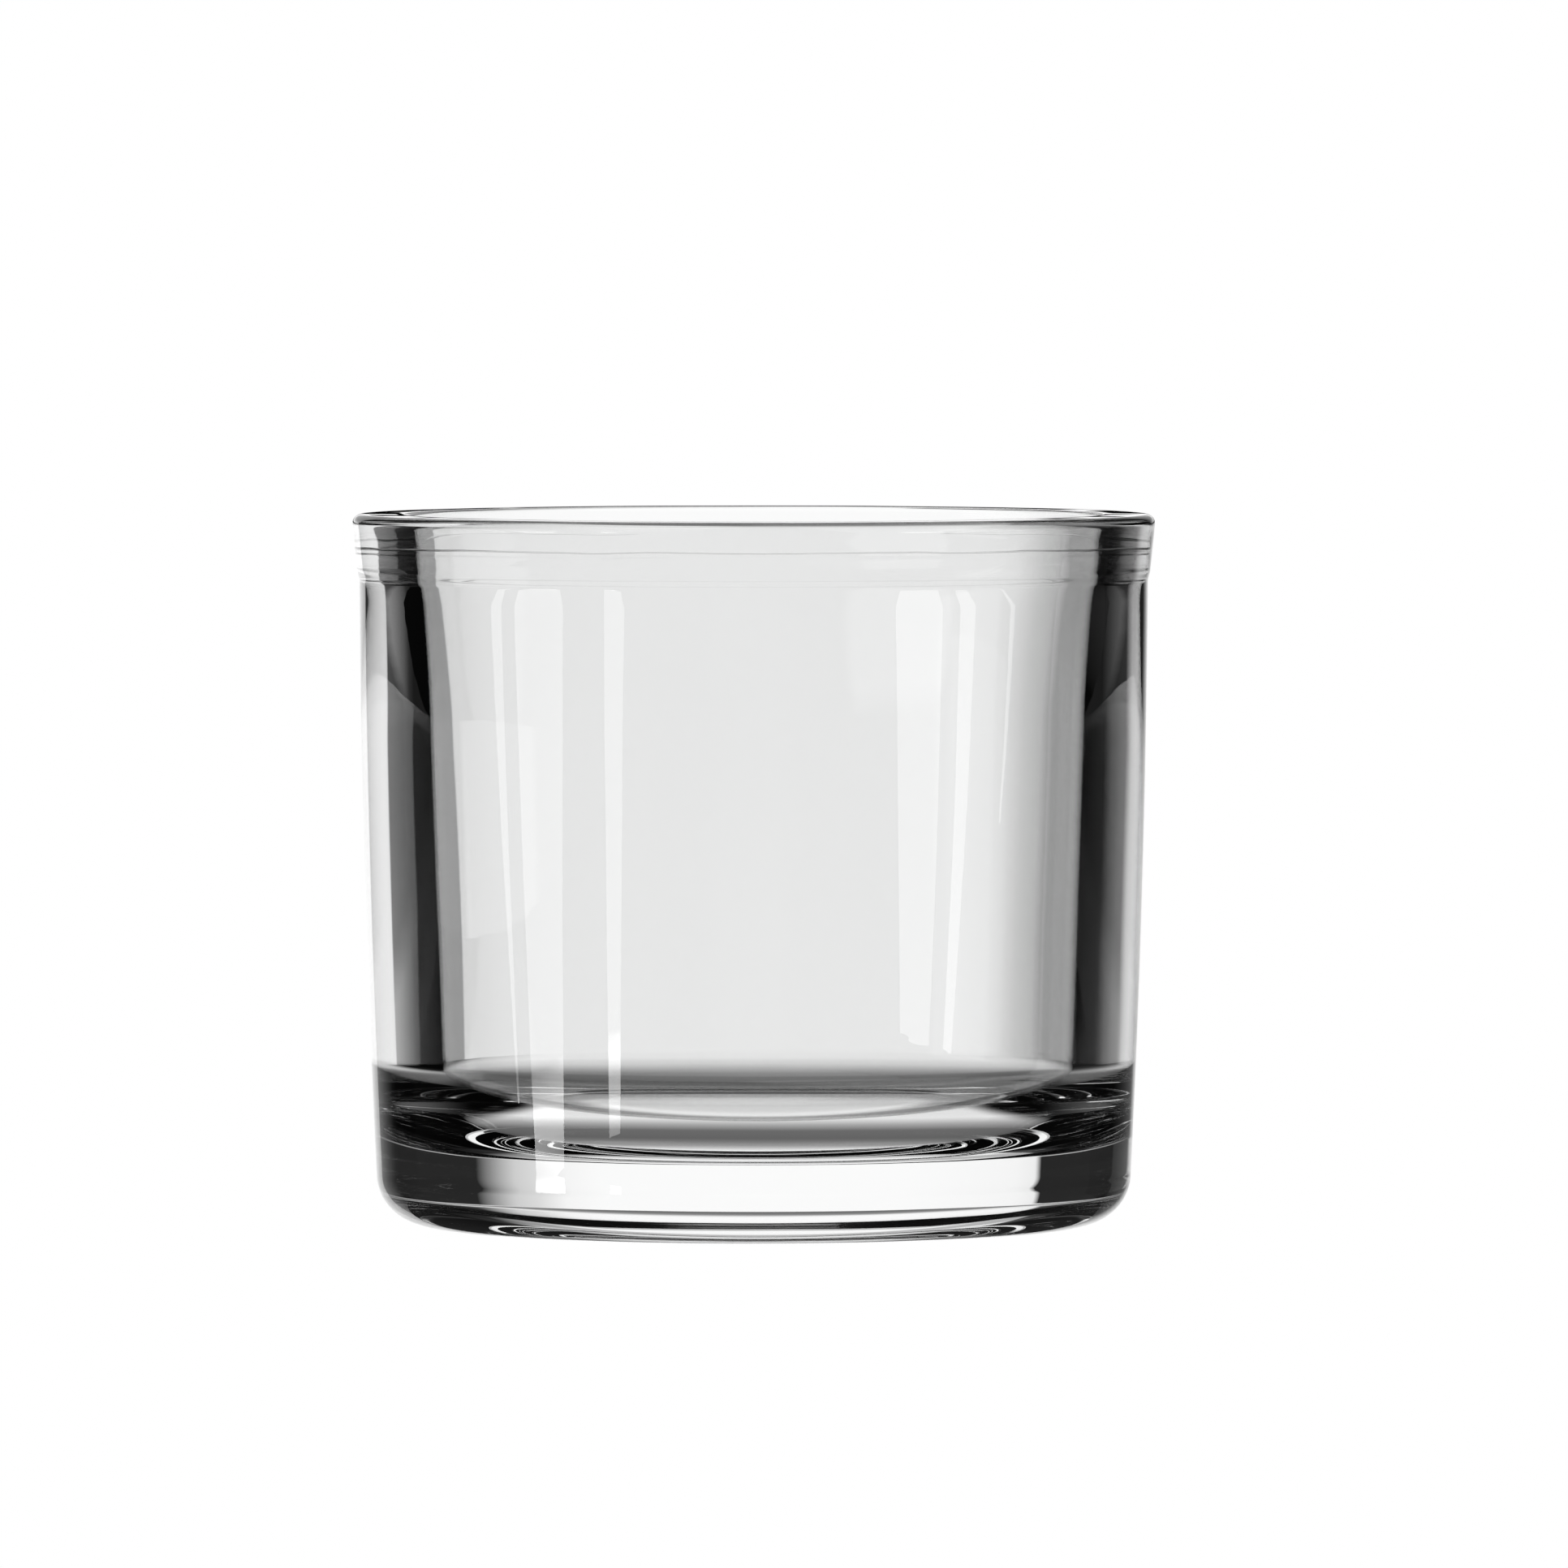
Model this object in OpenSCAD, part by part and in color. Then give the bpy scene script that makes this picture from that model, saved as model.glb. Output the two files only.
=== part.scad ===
// Low glass cylinder vase: one piece of thick pressed glass, open at the top.
// Millimetres, +Z up, origin at the centre of the ring that it stands on.

/* [Body] */
// Overall height, from the standing ring to the top of the lip
vase_h = 79.6; // [70:0.1:120]
// Outside diameter at the lip, the widest place
lip_d = 90; // [86:0.1:100]
// Outside diameter just under the collar
shoulder_d = 88.4; // [84:0.1:98]
// Outside diameter at the top of the heel
heel_d = 84.7; // [78:0.1:96]
// How far the wall swells out past a straight line, halfway up
wall_swell = 0.35; // [0:0.05:1]

/* [Lip] */
// Height of the collar that the ring mould leaves under the lip
collar_h = 6; // [4:0.1:9]
// How far the collar narrows from the lip to its lower edge, on each side
collar_taper = 0.5; // [0:0.1:1]
// Height of the step from the collar down to the wall
collar_step_h = 1.6; // [1:0.1:3]
// Radius of the flat lip's outer edge
lip_outer_r = 1.1; // [0.6:0.1:1.6]
// Radius of the flat lip's inner edge
lip_inner_r = 0.8; // [0.4:0.1:1.2]

/* [Cavity] */
// Cavity diameter at the mouth
mouth_d = 77.6; // [74:0.1:79]
// Cavity diameter at the top of its bottom fillet
cavity_low_d = 70.9; // [66:0.1:73]
// How much of the widening at the mouth is flare, on each side, and not the wall's even lean
cavity_flare = 1.35; // [0:0.05:1.8]
// Height over which the cavity flares towards the mouth
flare_h = 24; // [10:0.5:30]
// Width of the fillet between the cavity's wall and its floor
fillet_w = 15; // [8:0.5:20]
// Height of the fillet between the cavity's wall and its floor
fillet_h = 10.2; // [6:0.1:14]
// Thickness of glass at the foot of the fillet
floor_t = 8.5; // [6:0.1:14]
// How far the cavity's floor rises from the fillet to its centre
floor_rise = 0.3; // [0.1:0.1:1]

/* [Foot] */
// Radius of the heel
heel_r = 5.7; // [3:0.1:8]
// Width of the flat ring that the vase stands on
foot_ring_w = 2.6; // [1.5:0.1:5]
// Depth of the hollow under the base, at the centre
push_up = 0.6; // [0.4:0.1:2]

/* [Hidden] */

// Straight steps in each rounded stretch of the section, and in the long curved wall
round_steps = 10;
wall_steps = 20;
$fn = 180;

lip_r = lip_d / 2;
shoulder_r = shoulder_d / 2;
heel_top_r = heel_d / 2;
mouth_r = mouth_d / 2;
cavity_low_r = cavity_low_d / 2;
collar_z = vase_h - collar_h;
shoulder_z = collar_z - collar_step_h;
// Heights of the top of the cavity's fillet and of the foot of the mouth's rounded edge
fillet_z = floor_t + fillet_h;
mouth_z = vase_h - lip_inner_r;
foot_out_r = heel_top_r - heel_r;
foot_in_r = foot_out_r - foot_ring_w;
// Radius of the arc that makes the hollow under the base
push_up_arc_r = (foot_in_r * foot_in_r + push_up * push_up) / (2 * push_up);

// Points along a stretch of an ellipse, from angle a to angle b
function arc(centre, rx, rz, a, b) = [
    for (i = [0:round_steps])
        let (t = a + (b - a) * i / round_steps)
        [centre[0] + rx * cos(t), centre[1] + rz * sin(t)]
];

// The hollow under the base, from the centre out to the standing ring
function underside() = [
    for (i = [0:round_steps])
        let (r = foot_in_r * i / round_steps)
        [r, push_up - push_up_arc_r + sqrt(push_up_arc_r * push_up_arc_r - r * r)]
];

// Outer radius at a share t of the way up from the heel to the shoulder
function wall_r(t) = heel_top_r + (shoulder_r - heel_top_r) * t + 4 * wall_swell * t * (1 - t);

// The long outer wall, from above the heel up to the shoulder
function outer_wall() = [
    for (i = [1:wall_steps])
        let (t = i / wall_steps)
        [wall_r(t), heel_r + (shoulder_z - heel_r) * t]
];

// Inner radius at height z: an even lean, with a flare towards the mouth
function cavity_r(z) =
    let (lean = (mouth_r - cavity_flare - cavity_low_r) * (z - fillet_z) / (vase_h - fillet_z))
    let (flare = cavity_flare * pow(max(z - (vase_h - flare_h), 0) / flare_h, 1.5))
    cavity_low_r + lean + flare;

// The long inner wall, from the mouth's rounded edge down to the fillet
function inner_wall() = [
    for (i = [1:wall_steps])
        let (z = mouth_z + (fillet_z - mouth_z) * i / wall_steps)
        [cavity_r(z), z]
];

// The cavity's floor, from the foot of the fillet to the centre
function cavity_floor() = [
    for (i = [1:round_steps])
        let (out = 1 - i / round_steps)
        [(cavity_low_r - fillet_w) * out, floor_t + floor_rise * (1 - out * out)]
];

// Half of the section, from the centre of the underside round to the centre of the cavity's floor
function section() = concat(
    underside(),
    arc([foot_out_r, heel_r], heel_r, heel_r, -90, 0),
    outer_wall(),
    [[lip_r - collar_taper, collar_z]],
    arc([lip_r - lip_outer_r, vase_h - lip_outer_r], lip_outer_r, lip_outer_r, 0, 90),
    arc([cavity_r(mouth_z) + lip_inner_r, mouth_z], lip_inner_r, lip_inner_r, 90, 180),
    inner_wall(),
    arc([cavity_low_r - fillet_w, fillet_z], fillet_w, fillet_h, -90 / round_steps, -90),
    cavity_floor()
);

module glass_vase() {
    color([0.93, 0.96, 0.96, 0.35])
        rotate_extrude() polygon(section());
}

glass_vase();
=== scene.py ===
# A low cylinder vase of clear pressed glass, turned from one section and lit as glass is lit in a studio.
from math import cos, pi, radians, sin, sqrt, tan

import bmesh
import bpy
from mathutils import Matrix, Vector


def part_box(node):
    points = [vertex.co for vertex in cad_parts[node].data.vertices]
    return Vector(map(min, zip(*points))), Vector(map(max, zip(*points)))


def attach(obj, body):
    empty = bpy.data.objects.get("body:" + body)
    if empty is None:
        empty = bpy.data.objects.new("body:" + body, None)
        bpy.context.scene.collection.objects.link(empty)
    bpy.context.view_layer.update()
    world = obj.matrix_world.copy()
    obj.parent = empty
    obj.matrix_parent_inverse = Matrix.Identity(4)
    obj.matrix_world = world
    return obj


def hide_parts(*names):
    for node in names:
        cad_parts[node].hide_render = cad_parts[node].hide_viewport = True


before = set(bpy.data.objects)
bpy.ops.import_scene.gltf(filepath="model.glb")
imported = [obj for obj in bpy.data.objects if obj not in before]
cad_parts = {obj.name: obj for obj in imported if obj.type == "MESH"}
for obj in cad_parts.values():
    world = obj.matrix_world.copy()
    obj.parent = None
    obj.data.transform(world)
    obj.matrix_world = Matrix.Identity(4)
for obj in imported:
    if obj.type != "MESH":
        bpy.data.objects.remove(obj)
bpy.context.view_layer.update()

MM = 0.001

# ---- sizes of the vase, in millimetres, as the CAD model has them ----
low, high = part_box("glass_vase")
VASE_H = (high.z - low.z) / MM
LIP_R = (high.x - low.x) / 2 / MM
SHOULDER_R = 44.2
HEEL_TOP_R = 42.35
WALL_SWELL = 0.35
COLLAR_H = 6.0
COLLAR_TAPER = 0.5
COLLAR_STEP_H = 1.6
LIP_OUTER_R = 1.1
LIP_INNER_R = 0.8
MOUTH_R = 38.8
CAVITY_LOW_R = 35.45
CAVITY_FLARE = 1.35
FLARE_H = 24.0
FLARE_POWER = 1.5
FILLET_W = 15.0
FILLET_H = 10.2
FLOOR_T = 8.5
FLOOR_RISE = 0.3
HEEL_R = 5.7
FOOT_RING_W = 2.6
PUSH_UP = 0.6

# Heights and radii that follow from them
COLLAR_Z = VASE_H - COLLAR_H
SHOULDER_Z = COLLAR_Z - COLLAR_STEP_H
WALL_TOP_Z = VASE_H - LIP_OUTER_R
MOUTH_Z = VASE_H - LIP_INNER_R
FLARE_Z = VASE_H - FLARE_H
FILLET_Z = FLOOR_T + FILLET_H
FLOOR_R = CAVITY_LOW_R - FILLET_W
FOOT_OUT_R = HEEL_TOP_R - HEEL_R
FOOT_IN_R = FOOT_OUT_R - FOOT_RING_W

# ---- what pressing leaves in the glass, in millimetres, and not in the CAD model ----
# The fine seam round the mouth, where the plunger met the ring mould: a raised thread and a step below it
SEAM_Z = 76.4
SEAM_H = 0.05
SEAM_W = 0.09
SEAM_STEP = 0.03
SEAM_STEP_DROP = 0.6
SEAM_STEP_SLOPE = 0.3
SEAM_STEP_FADE = 2.0
# How far the seam wanders up and down, and how near to it the wall follows it wholly and not at all
SEAM_WANDER = 0.35
SEAM_NEAR = 0.4
SEAM_FAR = 2.4
# How far the plunger stood off the vase's axis
PLUNGER_SHIFT = 0.3
# Drag lines on the lip, and how far below it they reach
LIP_RIPPLE = 0.02
RIPPLE_REACH = COLLAR_H + 3.0
# Slow waves all over
WAVE_HEIGHT = 0.03
# How fine the waves, the seam's wandering and the drag lines are, in noise cells to a metre
WAVE_SCALE = 55.0
WANDER_SCALE = 70.0
DRAG_SCALE = 60.0
NOISE_SEED = 4.0

# ---- how finely the section is divided ----
# Steps in each stretch
UNDERSIDE_STEPS = 20
HEEL_STEPS = 28
LIP_OUTER_STEPS = 14
CREST_STEPS = 6
LIP_INNER_STEPS = 12
FILLET_STEPS = 40
FLOOR_STEPS = 16
TURNS = 288
# Heights between points on the upright stretches, in millimetres
WALL_RISE = 1.8
COLLAR_RISE = 0.2
MOUTH_RISE = 0.5
SEAM_RISE = 0.045
CAVITY_RISE = 1.4
# How far above and below the seam its fine points run
SEAM_OVER = 2 * SEAM_W
SEAM_UNDER = 1.2


# ---- the vase's section ----
def arc(centre, rx, rz, start, end, steps):
    """Points on a stretch of an ellipse, from one angle to another in degrees."""
    points = []
    for i in range(steps + 1):
        t = radians(start + (end - start) * i / steps)
        points.append((centre[0] + rx * cos(t), centre[1] + rz * sin(t)))
    return points


def smooth(t):
    """A share from 0 to 1 that starts and ends gently."""
    t = min(max(t, 0.0), 1.0)
    return t * t * (3 - 2 * t)


def heights(start, end, step):
    """Heights between two ends, both left out, about one step apart."""
    count = max(int(abs(end - start) / step + 0.5), 1)
    return [start + (end - start) * i / count for i in range(1, count)]


def outer_radius(z):
    """Outer radius of the wall and the collar at height z."""
    t = min((z - HEEL_R) / (SHOULDER_Z - HEEL_R), 1.0)
    wall = HEEL_TOP_R + (SHOULDER_R - HEEL_TOP_R) * t + 4 * WALL_SWELL * t * (1 - t)
    if z <= SHOULDER_Z:
        return wall
    collar_low = LIP_R - COLLAR_TAPER - SHOULDER_R
    step = collar_low * smooth((z - SHOULDER_Z) / COLLAR_STEP_H)
    up = max(z - COLLAR_Z, 0.0) / (COLLAR_H - LIP_OUTER_R)
    return SHOULDER_R + step + COLLAR_TAPER * up


def inner_radius(z):
    """Radius of the cavity's wall at height z, with the flare that it has towards the mouth."""
    lean = (MOUTH_R - CAVITY_FLARE - CAVITY_LOW_R) * (z - FILLET_Z) / (VASE_H - FILLET_Z)
    flare = CAVITY_FLARE * (max(z - FLARE_Z, 0.0) / FLARE_H) ** FLARE_POWER
    return CAVITY_LOW_R + lean + flare


def seam_height(z):
    """How far the seam stands proud of the cavity's wall at height z."""
    thread = SEAM_H * max(1 - ((z - SEAM_Z) / SEAM_W) ** 2, 0.0) ** 2
    step_z = SEAM_Z - SEAM_STEP_DROP
    up = smooth((z - step_z) / SEAM_STEP_SLOPE + 0.5)
    down = 1 - smooth((z - SEAM_Z) / SEAM_STEP_FADE)
    return thread + SEAM_STEP * up * down


def underside():
    """The shallow hollow under the base, from its centre out to the standing ring."""
    dome = (FOOT_IN_R ** 2 + PUSH_UP ** 2) / (2 * PUSH_UP)
    radii = [FOOT_IN_R * i / UNDERSIDE_STEPS for i in range(UNDERSIDE_STEPS + 1)]
    return [(r, PUSH_UP - dome + sqrt(dome ** 2 - r ** 2)) for r in radii]


def outside():
    """The heel, the wall and the collar, up to the lip's outer edge."""
    points = arc((FOOT_OUT_R, HEEL_R), HEEL_R, HEEL_R, -90, 0, HEEL_STEPS)
    rows = heights(HEEL_R, SHOULDER_Z, WALL_RISE) + [SHOULDER_Z]
    rows += heights(SHOULDER_Z, WALL_TOP_Z, COLLAR_RISE)
    return points + [(outer_radius(z), z) for z in rows]


def lip():
    """The flat lip with its two rounded edges, from the outside inwards."""
    crest_out = LIP_R - LIP_OUTER_R
    crest_in = MOUTH_R + LIP_INNER_R
    points = arc((crest_out, WALL_TOP_Z), LIP_OUTER_R, LIP_OUTER_R, 0, 90, LIP_OUTER_STEPS)
    for i in range(1, CREST_STEPS):
        points.append((crest_out + (crest_in - crest_out) * i / CREST_STEPS, VASE_H))
    centre = (inner_radius(MOUTH_Z) + LIP_INNER_R, MOUTH_Z)
    return points + arc(centre, LIP_INNER_R, LIP_INNER_R, 90, 180, LIP_INNER_STEPS)


def cavity():
    """The cavity's wall with its seam, its fillet and its floor, from the mouth down to the centre."""
    seam_top = SEAM_Z + SEAM_OVER
    seam_foot = SEAM_Z - SEAM_UNDER
    rows = heights(MOUTH_Z, seam_top, MOUTH_RISE) + [seam_top]
    rows += heights(seam_top, seam_foot, SEAM_RISE) + [seam_foot]
    rows += heights(seam_foot, FILLET_Z, CAVITY_RISE)
    points = [(inner_radius(z) - seam_height(z), z) for z in rows]
    points += arc((FLOOR_R, FILLET_Z), FILLET_W, FILLET_H, 0, -90, FILLET_STEPS)
    for i in range(1, FLOOR_STEPS + 1):
        out = 1 - i / FLOOR_STEPS
        points.append((FLOOR_R * out, FLOOR_T + FLOOR_RISE * (1 - out ** 2)))
    return points


def section():
    """Half of the section as (radius, height) points, from the underside's centre to the cavity's."""
    return underside() + outside() + lip() + cavity()


# ---- node trees ----
class Wiring:
    """Adds nodes to a tree and joins them up."""

    def __init__(self, tree):
        self.nodes = tree.nodes
        self.links = tree.links

    def give(self, socket, value):
        """Joins a socket to another, or sets its own value."""
        if isinstance(value, bpy.types.NodeSocket):
            self.links.new(value, socket)
        else:
            socket.default_value = value

    def add(self, kind, inputs=None, **settings):
        """A new node with its settings made and its inputs given."""
        node = self.nodes.new(kind)
        for name, value in settings.items():
            setattr(node, name, value)
        for name, value in (inputs or {}).items():
            self.give(node.inputs[name], value)
        return node

    def math(self, operation, *values, vector=False):
        """The result of a sum on numbers or vectors."""
        node = self.nodes.new("ShaderNodeVectorMath" if vector else "ShaderNodeMath")
        node.operation = operation
        for socket, value in zip(node.inputs, values):
            self.give(socket, value)
        return node.outputs[0]

    def product(self, first, *others):
        """Several values multiplied together."""
        for value in others:
            first = self.math("MULTIPLY", first, value)
        return first

    def rest(self, share):
        """What a share leaves of 1."""
        return self.math("SUBTRACT", 1.0, share)

    def length(self, vector):
        return self.add("ShaderNodeVectorMath", {0: vector}, operation="LENGTH").outputs["Value"]

    def axes(self, vector):
        """The parts of a vector along X, Y and Z."""
        return self.add("ShaderNodeSeparateXYZ", {"Vector": vector}).outputs

    def object_spot(self):
        """The place on the piece, in its own coordinates."""
        return self.add("ShaderNodeTexCoord").outputs["Object"]

    def fade(self, value, start, end):
        """0 at start and 1 at end, smooth between them."""
        share = {"Value": value, "From Min": start, "From Max": end}
        return self.add("ShaderNodeMapRange", share, interpolation_type="SMOOTHSTEP").outputs[0]

    def blend(self, share, first, second):
        """One value giving way to another as a share goes from 0 to 1."""
        values = {"Factor": share, "A": first, "B": second}
        return self.add("ShaderNodeMix", values, data_type="FLOAT").outputs[0]

    def blend_colours(self, share, first, second):
        """One colour giving way to another as a share goes from 0 to 1."""
        node = self.add("ShaderNodeMix", {"Factor": share}, data_type="RGBA")
        ends = [socket for socket in node.inputs if socket.type == "RGBA"]
        self.give(ends[0], first)
        self.give(ends[1], second)
        return [socket for socket in node.outputs if socket.type == "RGBA"][0]

    def ramp(self, value, stops):
        """A grey that follows a value through (value, brightness) stops."""
        start, end = stops[0][0], stops[-1][0]
        share = self.add("ShaderNodeMapRange", {"Value": value, "From Min": start, "From Max": end})
        node = self.add("ShaderNodeValToRGB", {"Fac": share.outputs[0]})
        ends = node.color_ramp.elements
        for element, (_, grey) in zip(ends, (stops[0], stops[-1])):
            element.color = (grey, grey, grey, 1)
        for place, grey in stops[1:-1]:
            ends.new((place - start) / (end - start)).color = (grey, grey, grey, 1)
        return node.outputs["Color"]


# ---- turning the section into the vase with Geometry Nodes ----
# Points nearer than this are one point, in metres
WELD = 1e-6


def wire(points):
    """The section as a chain of edges in the XZ plane, in metres."""
    mesh = bpy.data.meshes.new("vase_section")
    edges = [(i, i + 1) for i in range(len(points) - 1)]
    mesh.from_pydata([(r * MM, 0, z * MM) for r, z in points], edges, [])
    obj = bpy.data.objects.new("vase_section", mesh)
    bpy.context.scene.collection.objects.link(obj)
    return obj


def name_sockets(tree):
    """Gives the tree its named inputs and its output."""
    face = tree.interface
    face.new_socket("Section", in_out="INPUT", socket_type="NodeSocketGeometry")
    for name, kind, value in (
        ("Section Points", "NodeSocketInt", 2),
        ("Turns", "NodeSocketInt", 256),
        ("Vase Height", "NodeSocketFloat", 0.0),
        ("Seam Height", "NodeSocketFloat", 0.0),
        ("Seam Wander", "NodeSocketFloat", 0.0),
        ("Seam Near", "NodeSocketFloat", 0.0),
        ("Seam Far", "NodeSocketFloat", 0.0),
        ("Cavity Radius", "NodeSocketFloat", 0.0),
        ("Floor Height", "NodeSocketFloat", 0.0),
        ("Plunger Shift", "NodeSocketFloat", 0.0),
        ("Ripple Reach", "NodeSocketFloat", 0.0),
        ("Lip Ripple", "NodeSocketFloat", 0.0),
        ("Wave Height", "NodeSocketFloat", 0.0),
        ("Wave Scale", "NodeSocketFloat", 1.0),
        ("Seed", "NodeSocketFloat", 0.0),
    ):
        face.new_socket(name, in_out="INPUT", socket_type=kind).default_value = value
    face.new_socket("Material", in_out="INPUT", socket_type="NodeSocketMaterial")
    face.new_socket("Vase", in_out="OUTPUT", socket_type="NodeSocketGeometry")


def turn_section(make, given, place):
    """A closed skin: a grid with a section along each of its rows, turned about Z row by row."""
    index = make.add("GeometryNodeInputIndex").outputs[0]
    along = make.math("MODULO", index, given["Section Points"])
    around = make.math("FLOOR", make.math("DIVIDE", index, given["Section Points"]))
    turn = make.math("DIVIDE", make.math("MULTIPLY", around, 2 * pi), given["Turns"])
    columns = make.math("ADD", given["Turns"], 1)
    grid = make.add("GeometryNodeMeshGrid", {"Vertices X": columns, "Vertices Y": given["Section Points"]})
    sample = make.add("GeometryNodeSampleIndex", data_type="FLOAT_VECTOR")
    make.give(sample.inputs["Geometry"], given["Section"])
    make.give(sample.inputs["Value"], place)
    make.give(sample.inputs["Index"], along)
    swing = {"Vector": sample.outputs["Value"], "Angle": turn}
    spot = make.add("ShaderNodeVectorRotate", swing, rotation_type="Z_AXIS").outputs[0]
    turned = make.add("GeometryNodeSetPosition", {"Geometry": grid.outputs["Mesh"], "Position": spot})
    weld = {"Geometry": turned.outputs[0], "Distance": WELD}
    return make.add("GeometryNodeMergeByDistance", weld).outputs[0]


def turning_tree():
    """Turns a section about Z, then gives it a wandering seam, lip ripples and slow waves."""
    tree = bpy.data.node_groups.new("turn_pressed_glass", "GeometryNodeTree")
    name_sockets(tree)
    make = Wiring(tree)
    given = make.add("NodeGroupInput").outputs
    place = make.add("GeometryNodeInputPosition").outputs[0]
    normal = make.add("GeometryNodeInputNormal").outputs[0]

    def noise(scale, stretch, detail, apart):
        """Noise between -1 and 1 on a stretched position."""
        spot = make.math("MULTIPLY", place, stretch, vector=True)
        seed = make.math("ADD", given["Seed"], apart)
        node = make.add("ShaderNodeTexNoise", {
            "Vector": spot, "W": seed, "Scale": scale, "Detail": detail, "Roughness": 0.5,
        }, noise_dimensions="4D")
        return make.math("MULTIPLY_ADD", node.outputs[0], 2.0, -1.0)

    def shift(geometry, offset):
        """Moves each point by its own offset."""
        return make.add("GeometryNodeSetPosition", {"Geometry": geometry, "Offset": offset}).outputs[0]

    def dying_away(distance, near, far):
        """1 up to a near distance and 0 past a far one."""
        share = {"Value": distance, "From Min": near, "From Max": far, "To Min": 1.0, "To Max": 0.0}
        return make.add("ShaderNodeMapRange", share, interpolation_type="SMOOTHSTEP").outputs[0]

    closed = turn_section(make, given, place)

    # The plunger pressed the cavity a little off the vase's own axis
    split = make.axes(place)
    radius = make.length(make.math("MULTIPLY", place, (1.0, 1.0, 0.0), vector=True))
    within = make.math("LESS_THAN", radius, given["Cavity Radius"])
    inside = make.product(within, make.math("GREATER_THAN", split["Z"], given["Floor Height"]))
    slid = make.product(inside, given["Plunger Shift"])
    pressed = shift(closed, make.add("ShaderNodeCombineXYZ", {"X": slid}).outputs[0])

    # The seam goes up and down as it goes round the mouth, and its neighbours follow it less and less
    away = make.math("ABSOLUTE", make.math("SUBTRACT", split["Z"], given["Seam Height"]))
    near_seam = dying_away(away, given["Seam Near"], given["Seam Far"])
    wander = make.product(noise(WANDER_SCALE, (1.0, 1.0, 0.0), 2.0, 3.0), given["Seam Wander"])
    lift = make.product(wander, near_seam, inside)
    seamed = shift(pressed, make.add("ShaderNodeCombineXYZ", {"Z": lift}).outputs[0])

    # Drag lines run round the lip and the collar, and fade out below them
    below = make.math("SUBTRACT", given["Vase Height"], split["Z"])
    on_lip = dying_away(below, 0.0, given["Ripple Reach"])
    drag = make.product(noise(DRAG_SCALE, (1.0, 1.0, 9.0), 1.0, 11.0), given["Lip Ripple"])
    ripple = make.product(drag, on_lip)

    # Slow waves lie all over, longer up the vase than round it
    waves = noise(given["Wave Scale"], (1.0, 1.0, 0.45), 1.0, 0.0)
    proud = make.math("ADD", ripple, make.product(waves, given["Wave Height"]))
    out = make.add("ShaderNodeVectorMath", {0: normal, "Scale": proud}, operation="SCALE")
    waved = shift(seamed, out.outputs[0])

    shade = make.add("GeometryNodeSetShadeSmooth", {"Geometry": waved}).outputs[0]
    real = make.add("GeometryNodeRealizeInstances", {"Geometry": shade}).outputs[0]
    paint = make.add("GeometryNodeSetMaterial", {"Geometry": real, "Material": given["Material"]}).outputs[0]
    make.add("NodeGroupOutput", {"Vase": paint})
    return tree


def set_inputs(modifier, tree, values):
    """Sets a modifier's named inputs through their sockets' identifiers."""
    for item in tree.interface.items_tree:
        if item.item_type == "SOCKET" and item.in_out == "INPUT" and item.name in values:
            modifier[item.identifier] = values[item.name]


def glass_vase(material):
    """The whole vase as one plain mesh, with its faces outwards."""
    points = section()
    wires = wire(points)
    tree = turning_tree()
    modifier = wires.modifiers.new("turn", "NODES")
    modifier.node_group = tree
    set_inputs(modifier, tree, {
        "Section Points": len(points),
        "Turns": TURNS,
        "Vase Height": VASE_H * MM,
        "Seam Height": SEAM_Z * MM,
        "Seam Wander": SEAM_WANDER * MM,
        "Seam Near": SEAM_NEAR * MM,
        "Seam Far": SEAM_FAR * MM,
        # Points nearer the axis than the flat lip, and above the underside's hollow, are the cavity's
        "Cavity Radius": (MOUTH_R + 0.3) * MM,
        "Floor Height": 0.6 * FLOOR_T * MM,
        "Plunger Shift": PLUNGER_SHIFT * MM,
        "Ripple Reach": RIPPLE_REACH * MM,
        "Lip Ripple": LIP_RIPPLE * MM,
        "Wave Height": WAVE_HEIGHT * MM,
        "Wave Scale": WAVE_SCALE,
        "Seed": NOISE_SEED,
        "Material": material,
    })
    bpy.context.view_layer.update()
    ready = wires.evaluated_get(bpy.context.evaluated_depsgraph_get())
    mesh = bpy.data.meshes.new_from_object(ready)
    mesh.name = "pressed_vase"
    bpy.data.objects.remove(wires)
    work = bmesh.new()
    work.from_mesh(mesh)
    bmesh.ops.recalc_face_normals(work, faces=work.faces)
    work.to_mesh(mesh)
    work.free()
    obj = bpy.data.objects.new("pressed_vase", mesh)
    bpy.context.scene.collection.objects.link(obj)
    return obj


# ---- clear glass ----
GLASS_IOR = 1.52
DEEP_TINT = (0.888, 0.89, 0.889, 1)
PALE_TINT = (0.91, 0.912, 0.911, 1)
MOST_HAZE = 0.008
FLOW_DEPTH = 0.02


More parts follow.
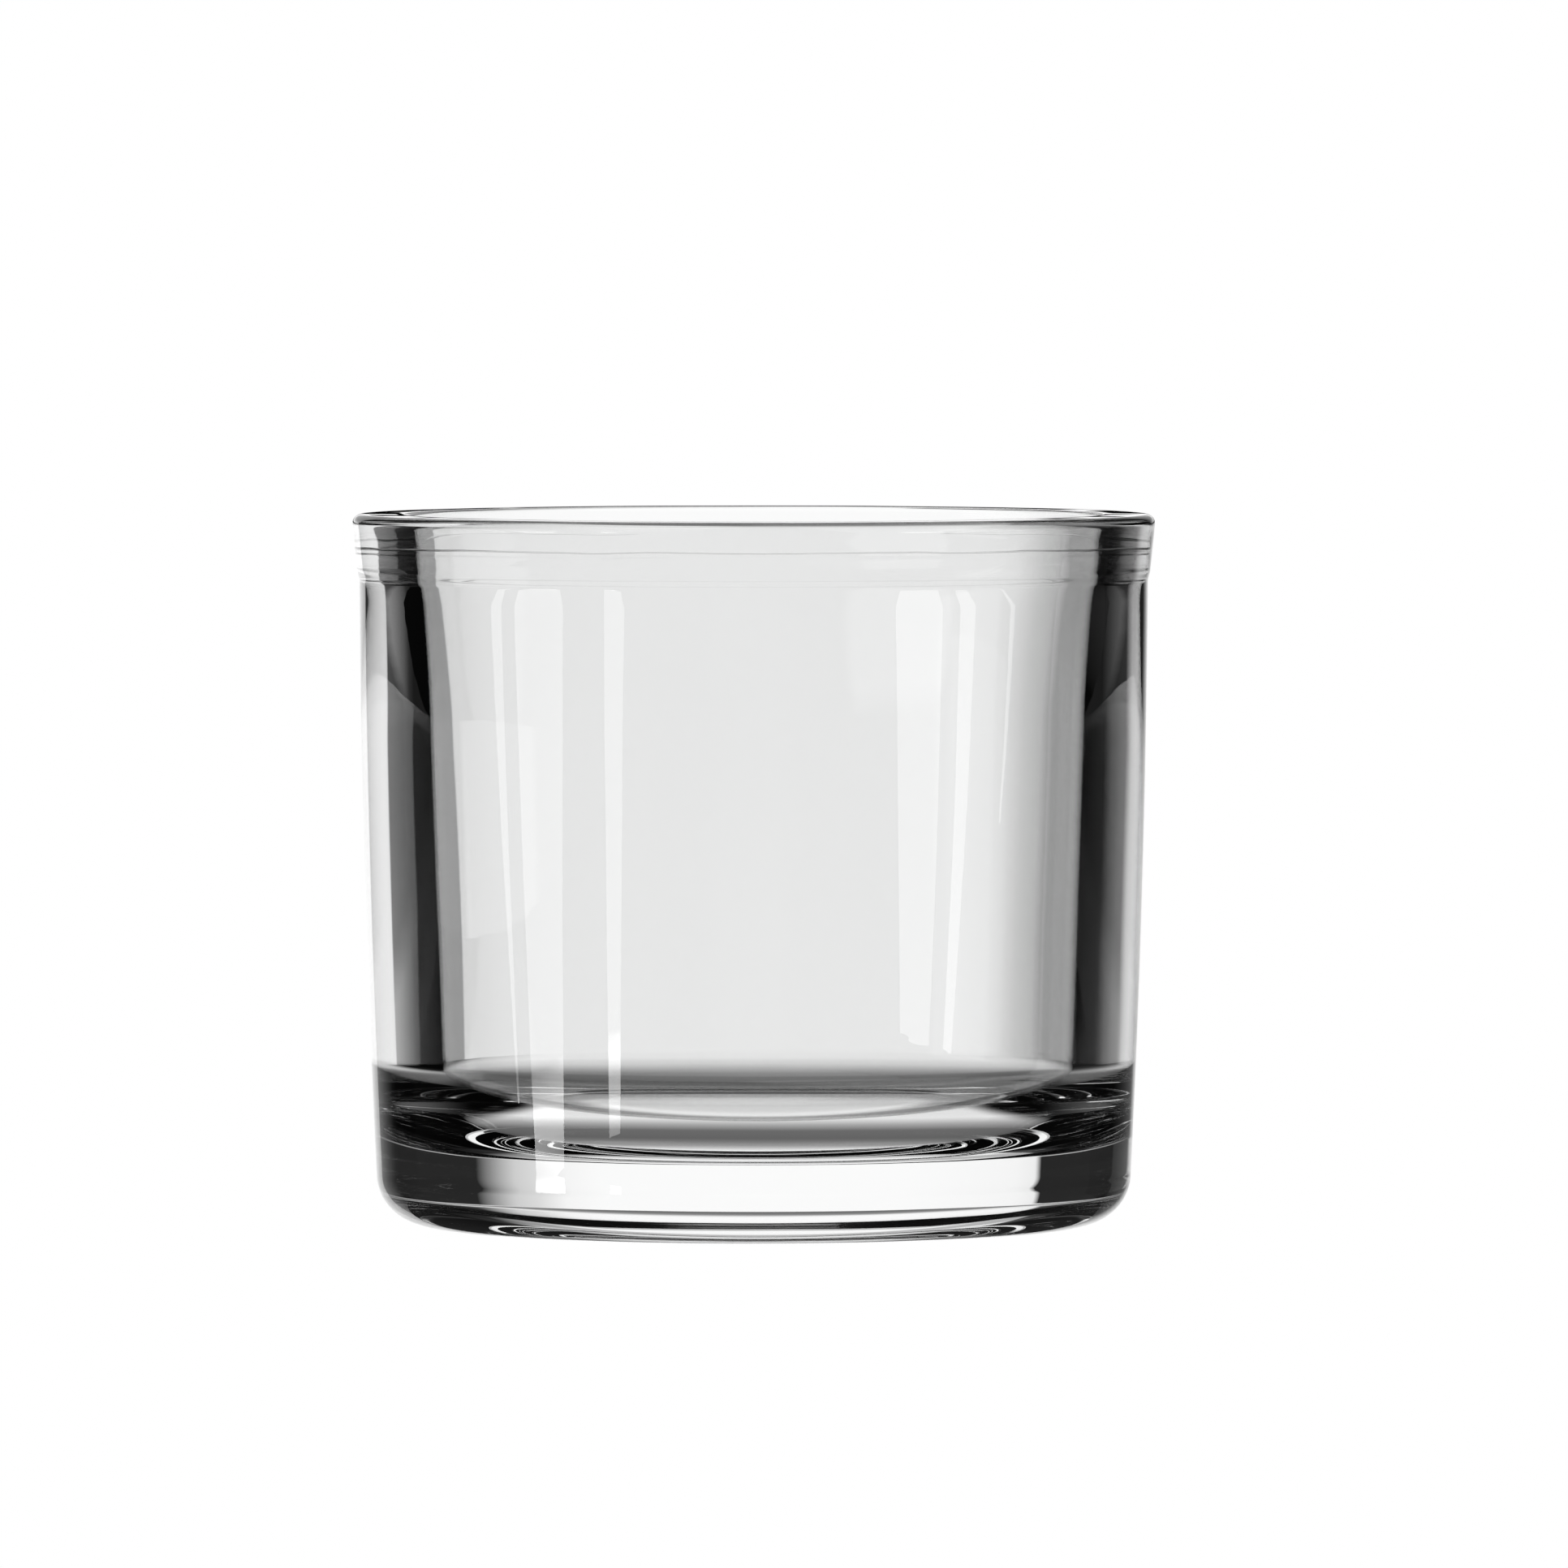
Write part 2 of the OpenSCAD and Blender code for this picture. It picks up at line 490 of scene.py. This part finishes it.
def clear_glass():
    """Clear glass with a fire-polished skin: a breath of haze, faint flow marks and an uneven tint."""
    material = bpy.data.materials.new("clear_pressed_glass")
    material.use_nodes = True
    shader = material.node_tree.nodes["Principled BSDF"]
    shader.inputs["Transmission Weight"].default_value = 1.0
    shader.inputs["IOR"].default_value = GLASS_IOR
    shader.inputs["Metallic"].default_value = 0.0
    make = Wiring(material.node_tree)
    spot = make.object_spot()

    cloudy = make.add("ShaderNodeTexNoise", {"Vector": spot, "Scale": 22.0, "Detail": 2.0}).outputs[0]
    make.give(shader.inputs["Base Color"], make.blend_colours(cloudy, DEEP_TINT, PALE_TINT))

    # The polish is a little duller in patches
    patches = make.add("ShaderNodeTexNoise", {"Vector": spot, "Scale": 60.0, "Detail": 3.0}).outputs[0]
    haze = {"Value": patches, "From Min": 0.4, "From Max": 0.75, "To Min": 0.0, "To Max": MOST_HAZE}
    make.give(shader.inputs["Roughness"], make.add("ShaderNodeMapRange", haze).outputs[0])

    # Flow marks run round the vase, long and shallow
    stretched = make.math("MULTIPLY", spot, (1.0, 1.0, 4.0), vector=True)
    flow = make.add("ShaderNodeTexNoise", {"Vector": stretched, "Scale": 90.0, "Detail": 1.0}).outputs[0]
    marks = make.add("ShaderNodeBump", {"Height": flow, "Strength": 0.1, "Distance": FLOW_DEPTH * MM})
    make.give(shader.inputs["Normal"], marks.outputs[0])
    return material


# ---- stage, in metres ----
BACK_LIGHT = 1.16
BACK_DISTANCE = 0.232
BACK_HALF = 0.4
BACK_TOP = 0.35
SIDE_LIGHT = 1.0
SIDE_DISTANCE = 0.4
SIDE_HALF = 0.3
SIDE_TOP = 0.1
PANEL_FOOT = -0.1
TABLE_REACH = 0.6
TABLE_Z = -0.1 * MM
FLOOR_REACH = 3.0
STRIP_LIGHT = 9.0
STRIP_DISTANCE = 3.0
STRIP_LEVEL = 0.04

# Painted light on the black cloth: how bright it is made for light straight through the whole vase, and
# through one side of it
CLOTH_THROUGH = 0.33
CLOTH_SHALLOW = 0.02
# Light that has crossed more glass surfaces than this has been through the whole vase
WHOLE_VASE = 3.5
# Light that has been mirrored more often than these has met the cavity's wall, or wanders in the base
ONE_MIRROR = 0.5
WANDERING = 1.5

# Each strip by the bearings of its edges from the front, in degrees, and the slopes to its ends
STRIPS = (
    {"top": (-84.5, -79.3), "foot": (-75.2, -74.6), "slopes": (0.5, -7.4)},
    {"top": (-74.6, -55.8), "foot": (-69.0, -59.1), "slopes": (0.5, -8.6)},
    {"top": (-43.6, -36.5), "foot": (-44.0, -40.5), "slopes": (0.5, -8.6)},
    {"top": (40.2, 57.7), "foot": (44.0, 53.5), "slopes": (0.5, -7.2)},
    {"top": (64.0, 70.2), "foot": (58.3, 61.2), "slopes": (0.5, -7.2)},
    {"top": (83.0, 85.7), "foot": (76.6, 77.2), "slopes": (0.5, -4.2)},
)


def emitter(name):
    """A material that only glows, with its wiring and its light node."""
    material = bpy.data.materials.new(name)
    material.use_nodes = True
    make = Wiring(material.node_tree)
    make.nodes.clear()
    light = make.add("ShaderNodeEmission")
    make.add("ShaderNodeOutputMaterial", {"Surface": light.outputs[0]})
    return material, make, light


def seen_only_by(obj, *kinds):
    """Hides an object from every kind of ray but the ones named."""
    for kind in ("camera", "diffuse", "glossy", "transmission", "volume_scatter", "shadow"):
        setattr(obj, "visible_" + kind, kind in kinds)


def sheet(name, corners, material):
    """A flat stage piece with the corners given."""
    mesh = bpy.data.meshes.new(name)
    mesh.from_pydata(corners, [], [tuple(range(len(corners)))])
    mesh.materials.append(material)
    obj = bpy.data.objects.new(name, mesh)
    bpy.context.scene.collection.objects.link(obj)
    return obj


def flat_sheet(name, reach, z, material):
    """A level square centred under the vase."""
    corners = [(-reach, -reach, z), (reach, -reach, z), (reach, reach, z), (-reach, reach, z)]
    return sheet(name, corners, material)


def wall(name, half, z_low, z_high, distance, turn, material):
    """An upright sheet that faces the vase from a distance, turned about Z from the back."""
    obj = sheet(name, [(-half, 0, z_low), (half, 0, z_low), (half, 0, z_high), (-half, 0, z_high)], material)
    obj.rotation_euler = (0, 0, radians(turn))
    obj.location = (-distance * sin(radians(turn)), distance * cos(radians(turn)), 0)
    return obj


def crossings(make, least):
    """1 for light that has crossed more than so many glass surfaces, and 0 for the rest."""
    return make.math("GREATER_THAN", make.add("ShaderNodeLightPath").outputs["Transmission Depth"], least)


def mirrored(make, least):
    """1 for light that has been mirrored more than so many times, and 0 for the rest."""
    return make.math("GREATER_THAN", make.add("ShaderNodeLightPath").outputs["Glossy Depth"], least)


def painted_base_shade(make, colour):
    """Painted shade: a colour that is left out, so black, where light has wandered about inside the base."""
    return make.product(colour, make.rest(mirrored(make, WANDERING)))


def back_wall():
    """The lit panel behind the vase, with a soft right edge, and a glow painted on the black cloth beside
    it.
    """
    material, make, light = emitter("light_back")
    split = make.axes(make.object_spot())
    lit = make.ramp(split["X"], (
        (-0.141, 0.0), (-0.134, 0.9), (-0.115, 0.96), (-0.05, 1.0), (0.05, 1.0), (0.065, 0.95),
        (0.08, 0.74), (0.095, 0.64), (0.115, 0.26), (0.13, 0.0),
    ))
    glow = make.ramp(split["X"], (
        (-0.26, 0.01), (-0.235, 0.03), (-0.2, 0.14), (-0.15, 0.32), (-0.125, 0.45), (0.0, 0.4),
        (0.115, 0.22), (0.13, 0.16), (0.17, 0.09), (0.2, 0.05), (0.24, 0.01),
    ))
    fading = make.ramp(split["Z"], ((0.0, 1.0), (0.011, 1.0), (0.016, 0.28), (0.03, 0.15), (0.09, 0.25)))
    low_glow = make.product(glow, fading)

    # Painted light: the cloth is made an even grey for light through the whole vase and near black for light
    # through one side, and its painted glow shows only in the mirror of the cavity's wall
    straight = make.rest(mirrored(make, ONE_MIRROR))
    shallow = make.blend(straight, low_glow, CLOTH_SHALLOW)
    painted_cloth = make.blend(make.product(straight, crossings(make, WHOLE_VASE)), shallow, CLOTH_THROUGH)
    across = make.math("MAXIMUM", lit, painted_cloth)
    up = make.ramp(split["Z"], (
        (0.0, 1.0), (0.09, 1.0), (0.105, 0.5), (0.17, 0.5), (0.19, 0.95), (0.22, 0.95), (0.26, 0.6),
        (0.35, 0.55),
    ))

    # A painted dark reflection on the lip's flat top: in a narrow band the panel is made dark for mirrored
    # light alone
    bounced = make.add("ShaderNodeLightPath").outputs["Is Reflection Ray"]
    lip_reflection_band = make.product(make.fade(split["Z"], 0.078, 0.0805), make.fade(split["Z"], 0.0852, 0.0846))
    painted_lip_shade = make.product(bounced, lip_reflection_band)
    make.give(light.inputs["Color"], make.product(across, up, make.rest(painted_lip_shade)))
    make.give(light.inputs["Strength"], BACK_LIGHT)
    panel = wall("light_back", BACK_HALF, PANEL_FOOT, BACK_TOP, BACK_DISTANCE, 0, material)
    seen_only_by(panel, "transmission", "glossy")


def side_wall():
    """A plain pale panel to the left, which is the background when the vase is seen from its right."""
    material, make, light = emitter("light_left")
    aside = make.math("ABSOLUTE", make.axes(make.object_spot())["X"])
    make.give(light.inputs["Color"], make.ramp(aside, ((0.0, 1.0), (0.1, 1.0), (0.12, 0.1), (0.3, 0.02))))
    make.give(light.inputs["Strength"], SIDE_LIGHT)
    panel = wall("light_left", SIDE_HALF, PANEL_FOOT, SIDE_TOP, SIDE_DISTANCE, 90, material)
    seen_only_by(panel, "transmission")


def pale_run(make, split, turn, start, half):
    """1 on a straight run across the table that starts some way out at a bearing, and 0 off it."""
    slant = radians(turn)
    along = make.math("SUBTRACT", make.product(split["Y"], cos(slant)), make.product(split["X"], sin(slant)))
    aside = make.math("ADD", make.product(split["X"], cos(slant)), make.product(split["Y"], sin(slant)))
    sides = make.fade(make.math("ABSOLUTE", aside), half + 0.015, half)
    return make.product(make.fade(along, start - 0.01, start + 0.01), sides)


def table():
    """What shows through the glass of the table, which glows with painted light and shade: painted shade
    under the vase, paler behind it, dark at the sides.
    """
    material, make, light = emitter("table_light")
    spot = make.object_spot()
    split = make.axes(spot)
    away = make.length(spot)
    # Painted shade: the table is dark under the vase and grows paler away from it
    near = make.ramp(away, (
        (0.0, 0.5), (0.006, 0.4), (0.013, 0.1), (0.05, 0.12), (0.06, 0.14), (0.08, 0.185), (0.093, 0.3),
        (0.106, 0.55), (0.12, 0.76), (0.16, 0.97), (0.3, 1.0),
    ))
    across = make.ramp(split["X"], (
        (-0.2, 0.0), (-0.15, 0.01), (-0.125, 0.25), (-0.09, 0.75), (-0.05, 1.0), (0.05, 0.97), (0.07, 0.84),
        (0.09, 0.58), (0.11, 0.35), (0.13, 0.2), (0.15, 0.1), (0.18, 0.03), (0.3, 0.0),
    ))
    behind = make.product(near, across)

    # Painted light: in front, a pale patch lies under the heel and round the middle of the foot
    painted_heel_light = make.ramp(away, (
        (0.0, 0.7), (0.019, 0.9), (0.023, 0.3), (0.027, 0.13), (0.031, 0.15), (0.034, 0.42), (0.037, 0.82),
        (0.041, 0.75), (0.047, 0.05), (0.06, 0.0),
    ))
    under = make.product(painted_heel_light, make.fade(make.math("ABSOLUTE", split["X"]), 0.036, 0.031))
    painted_cloth = make.blend(make.fade(split["Y"], -0.012, 0.012), under, behind)

    # Painted pale runs across the cloth, each the background of one of the other sides that the vase is seen
    # from.
    # Those for the higher views show only to light that comes down steeply.
    level = make.add("ShaderNodeLayerWeight", {"Blend": 0.5}).outputs["Facing"]
    pale = 0.0
    for turn, start, half, brightness, shown_to in (
        (45, 0.075, 0.07, 0.9, make.fade(level, 0.66, 0.6)),
        (225, 0.065, 0.07, 0.9, make.fade(level, 0.82, 0.76)),
        (90, 0.15, 0.06, 0.4, 1.0),
    ):
        run = make.product(pale_run(make, split, turn, start, half), shown_to, brightness)
        pale = make.math("MAXIMUM", pale, run)
    # Painted shade: the table goes black for light that has been mirrored twice or more inside the base
    make.give(light.inputs["Color"], painted_base_shade(make, make.math("MAXIMUM", painted_cloth, pale)))
    make.give(light.inputs["Strength"], BACK_LIGHT)
    seen_only_by(flat_sheet("table_light", TABLE_REACH, TABLE_Z, material), "transmission")


def strip_corner(bearing, slope):
    """A place at a strip's distance, by its bearing from the front and its slope from the vase."""
    turn = radians(bearing)
    z = STRIP_DISTANCE * tan(radians(slope)) + STRIP_LEVEL
    return (STRIP_DISTANCE * sin(turn), -STRIP_DISTANCE * cos(turn), z)


def strips():
    """Narrow lights far off in front, whose reflections run down the outside of the vase as pale streaks."""
    material, make, light = emitter("light_strips")
    height = make.axes(make.object_spot())["Z"]
    make.give(light.inputs["Color"], make.ramp(height, (
        (-0.6, 0.25), (-0.43, 0.3), (-0.41, 0.42), (-0.385, 0.75), (-0.36, 0.8), (-0.348, 0.6),
        (-0.338, 0.25), (-0.05, 0.22),
    )))
    make.give(light.inputs["Strength"], STRIP_LIGHT)
    for i, strip in enumerate(STRIPS):
        top_slope, foot_slope = strip["slopes"]
        corners = [strip_corner(bearing, top_slope) for bearing in strip["top"]]
        corners += [strip_corner(bearing, foot_slope) for bearing in reversed(strip["foot"])]
        seen_only_by(sheet("light_strip_%d" % i, corners, material), "glossy")


def floor():
    """A pale floor for the camera alone."""
    white, _, _ = emitter("pale_floor")
    seen_only_by(flat_sheet("floor", FLOOR_REACH, 0, white), "camera")


def room():
    """A white background for the camera, and for the glass a dark room under a bright ceiling."""
    world = bpy.data.worlds.new("studio")
    bpy.context.scene.world = world
    world.use_nodes = True
    make = Wiring(world.node_tree)
    make.nodes.clear()
    split = make.axes(make.add("ShaderNodeTexCoord").outputs["Generated"])
    # Brightness by the sine of the direction's elevation, with the ceiling reaching lower on the left
    lean = make.math("MULTIPLY_ADD", split["X"], -0.1, split["Z"])
    tent = make.ramp(lean, (
        (-1.0, 0.1), (-0.1, 0.02), (0.55, 0.03), (0.68, 0.4), (0.8, 0.6), (0.95, 0.8), (1.0, 0.85),
    ))
    to_camera = make.add("ShaderNodeLightPath").outputs["Is Camera Ray"]
    # Painted shade: the room goes black for light that has been mirrored twice or more inside the base
    colour = make.blend_colours(to_camera, painted_base_shade(make, tent), (1, 1, 1, 1))
    light = make.add("ShaderNodeBackground", {"Color": colour})
    make.add("ShaderNodeOutputWorld", {"Surface": light.outputs[0]})


# ---- camera ----
EYE_DISTANCE = 1.922
EYE_OVER_LIP = 42.0
EYE_ASIDE = 3.4
AIM_Z = 49.3
LENS = 393.8
SENSOR_W = 36.0
FAR_CLIP = 20


def camera():
    """Far off and a little above the lip, so that the vase is seen almost level."""
    data = bpy.data.cameras.new("camera")
    obj = bpy.data.objects.new("camera", data)
    bpy.context.scene.collection.objects.link(obj)
    bpy.context.scene.camera = obj
    data.sensor_width = SENSOR_W
    data.lens = LENS
    data.clip_end = FAR_CLIP
    eye = Vector((EYE_ASIDE * MM, -EYE_DISTANCE, (VASE_H + EYE_OVER_LIP) * MM))
    aim = Vector((EYE_ASIDE * MM, 0, AIM_Z * MM))
    obj.location = eye
    obj.rotation_euler = (aim - eye).to_track_quat("-Z", "Y").to_euler()


# ---- making it all ----
camera()
room()
back_wall()
side_wall()
table()
strips()
floor()
vase = glass_vase(clear_glass())
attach(vase, "root")
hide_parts("glass_vase")

cycles = bpy.context.scene.cycles
cycles.max_bounces = 24
cycles.transmission_bounces = 24
cycles.glossy_bounces = 16
bpy.context.scene.view_settings.view_transform = "Standard"
